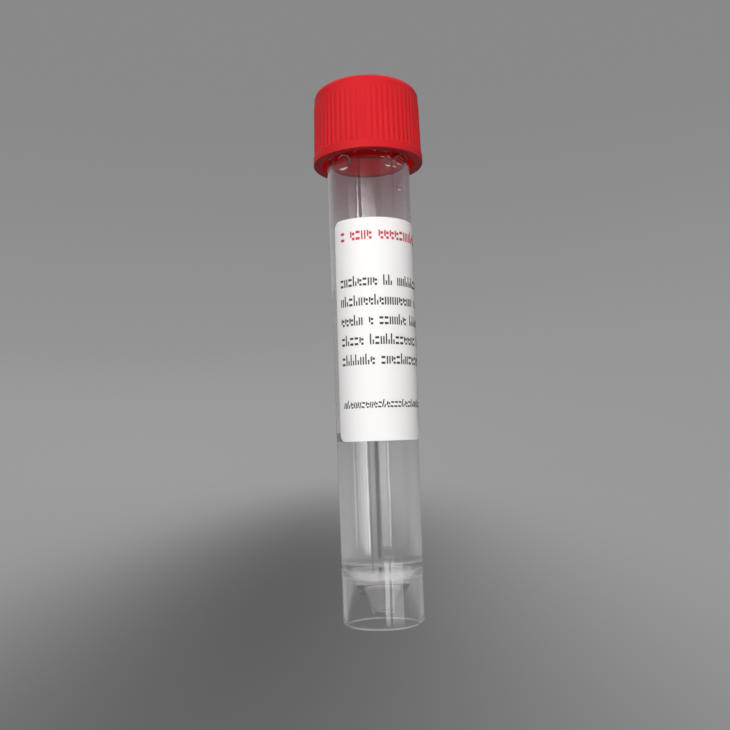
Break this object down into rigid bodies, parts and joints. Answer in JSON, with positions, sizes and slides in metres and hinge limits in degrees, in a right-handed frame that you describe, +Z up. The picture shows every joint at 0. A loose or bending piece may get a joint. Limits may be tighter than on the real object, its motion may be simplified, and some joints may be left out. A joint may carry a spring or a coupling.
{
  "type": "screw-cap specimen transport tube",
  "caption": "Self-standing tapered sample tube with a conical floor in a hollow skirt, a ribbed red screw cap that unscrews upwards, a wrap label and clear fluid.",
  "frame": {"origin": "middle of the flat standing plane under the skirt", "axes": "+Z up along the tube's axis to the cap, -Y towards the front, where the label's left edge shows, +X through the middle of the label (within 3 degrees)"},
  "size_m": [0.0212, 0.0212, 0.1011],
  "materials": {
    "tube": "translucent natural polypropylene, smooth",
    "cap": "red moulded polypropylene, satin",
    "washer": "natural silicone, matt",
    "label": "white coated paper, printed",
    "fluid": "clear watery fluid"
  },
  "bodies": {
    "tube": {"tube_body": "tube", "label": "label", "transport_fluid": "fluid"},
    "seal": {"sealing_washer": "washer"},
    "cap": {"screw_cap": "cap"}
  },
  "joints": [
    {"name": "cap_lift", "type": "slide", "parent": "tube", "child": "seal", "axis": [0, 0, 1], "range_m": [0, 0.0046]},
    {"name": "cap_turn", "type": "hinge", "parent": "seal", "child": "cap", "pos_m": [0, 0, 0.0983], "axis": [0, 0, 1], "range_deg": [0, 540]}
  ],
  "couplings": [
    {"joint": "cap_lift", "follows": "cap_turn", "m_per_rad": 0.00047746}
  ]
}
